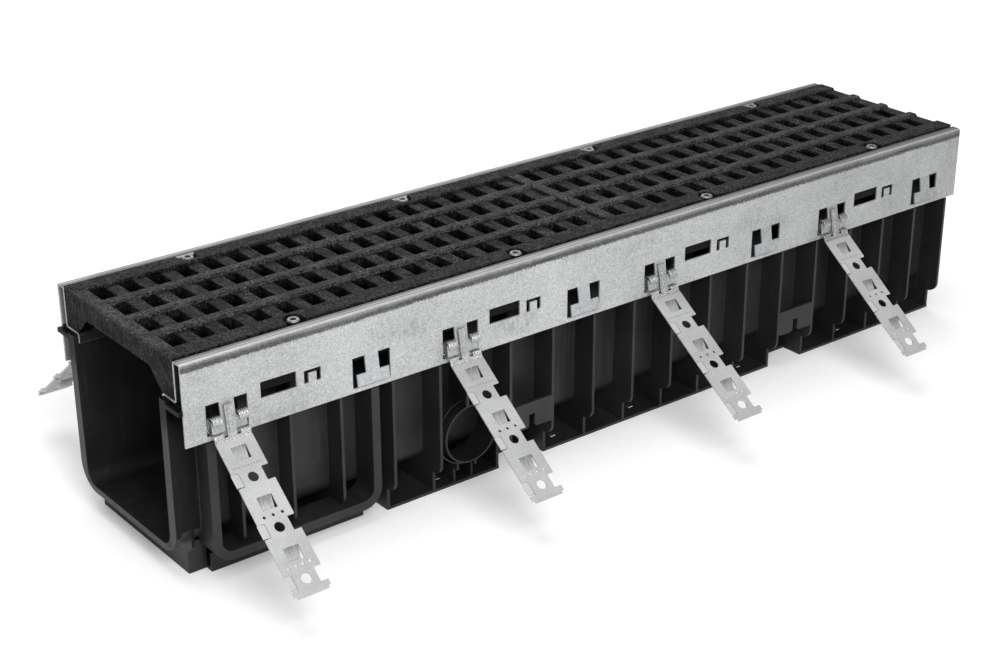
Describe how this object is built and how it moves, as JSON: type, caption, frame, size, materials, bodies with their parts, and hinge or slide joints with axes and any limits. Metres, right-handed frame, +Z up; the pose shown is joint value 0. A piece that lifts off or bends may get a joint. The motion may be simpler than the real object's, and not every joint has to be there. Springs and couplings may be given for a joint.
{
  "type": "linear drainage channel with gratings",
  "caption": "Straight drainage channel length with moulded body, folded metal edge rails, cast mesh gratings and hooked anchor straps.",
  "frame": {"origin": "middle of the footprint at the underside of the channel's base", "axes": "+X along the channel from the collared end to the other end, +Z up, the pictured long side faces -Y"},
  "size_m": [1, 0.4972, 0.2224],
  "materials": {
    "body_plastic": "moulded black plastic, slight sheen",
    "rail_zinc": "hot-dip galvanised sheet, mottled grey",
    "grate_iron": "rough dark cast iron",
    "bolt_zinc": "bright zinc-plated steel",
    "strap_zinc": "galvanised sheet steel"
  },
  "bodies": {
    "channel": {"channel_body": "body_plastic", "front_rail": "rail_zinc", "back_rail": "rail_zinc", "near_grate": "grate_iron", "far_grate": "grate_iron", "grate_bolt_front_1": "bolt_zinc", "lock_nut_front_1": "bolt_zinc", "grate_bolt_front_2": "bolt_zinc", "lock_nut_front_2": "bolt_zinc", "grate_bolt_front_3": "bolt_zinc", "lock_nut_front_3": "bolt_zinc", "grate_bolt_front_4": "bolt_zinc", "lock_nut_front_4": "bolt_zinc", "grate_bolt_back_1": "bolt_zinc", "lock_nut_back_1": "bolt_zinc", "grate_bolt_back_2": "bolt_zinc", "lock_nut_back_2": "bolt_zinc", "grate_bolt_back_3": "bolt_zinc", "lock_nut_back_3": "bolt_zinc", "grate_bolt_back_4": "bolt_zinc", "lock_nut_back_4": "bolt_zinc"},
    "anchor_strap_front_1": {"anchor_strap_front_1": "strap_zinc"},
    "anchor_strap_front_2": {"anchor_strap_front_2": "strap_zinc"},
    "anchor_strap_front_3": {"anchor_strap_front_3": "strap_zinc"},
    "anchor_strap_front_4": {"anchor_strap_front_4": "strap_zinc"},
    "anchor_strap_back_1": {"anchor_strap_back_1": "strap_zinc"},
    "anchor_strap_back_2": {"anchor_strap_back_2": "strap_zinc"},
    "anchor_strap_back_3": {"anchor_strap_back_3": "strap_zinc"},
    "anchor_strap_back_4": {"anchor_strap_back_4": "strap_zinc"}
  },
  "joints": [
    {"name": "anchor_strap_front_1_hinge", "type": "hinge", "parent": "channel", "child": "anchor_strap_front_1", "pos_m": [-0.4538, -0.11396, 0.15917], "axis": [-1, 0, 0], "range_deg": [-8.7, 6.8]},
    {"name": "anchor_strap_front_2_hinge", "type": "hinge", "parent": "channel", "child": "anchor_strap_front_2", "pos_m": [-0.2038, -0.11396, 0.15917], "axis": [-1, 0, 0], "range_deg": [-11.2, 4.3]},
    {"name": "anchor_strap_front_3_hinge", "type": "hinge", "parent": "channel", "child": "anchor_strap_front_3", "pos_m": [0.0462, -0.11396, 0.15917], "axis": [-1, 0, 0], "range_deg": [-13.4, 2.1]},
    {"name": "anchor_strap_front_4_hinge", "type": "hinge", "parent": "channel", "child": "anchor_strap_front_4", "pos_m": [0.2962, -0.11396, 0.15917], "axis": [-1, 0, 0], "range_deg": [-10.9, 4.6]},
    {"name": "anchor_strap_back_1_hinge", "type": "hinge", "parent": "channel", "child": "anchor_strap_back_1", "pos_m": [-0.4538, 0.11396, 0.15917], "axis": [1, 0, 0], "range_deg": [-10, 5.5]},
    {"name": "anchor_strap_back_2_hinge", "type": "hinge", "parent": "channel", "child": "anchor_strap_back_2", "pos_m": [-0.2038, 0.11396, 0.15917], "axis": [1, 0, 0], "range_deg": [-13.4, 2.1]},
    {"name": "anchor_strap_back_3_hinge", "type": "hinge", "parent": "channel", "child": "anchor_strap_back_3", "pos_m": [0.0462, 0.11396, 0.15917], "axis": [1, 0, 0], "range_deg": [-9.3, 6.2]},
    {"name": "anchor_strap_back_4_hinge", "type": "hinge", "parent": "channel", "child": "anchor_strap_back_4", "pos_m": [0.2962, 0.11396, 0.15917], "axis": [1, 0, 0], "range_deg": [-11.6, 3.9]}
  ]
}
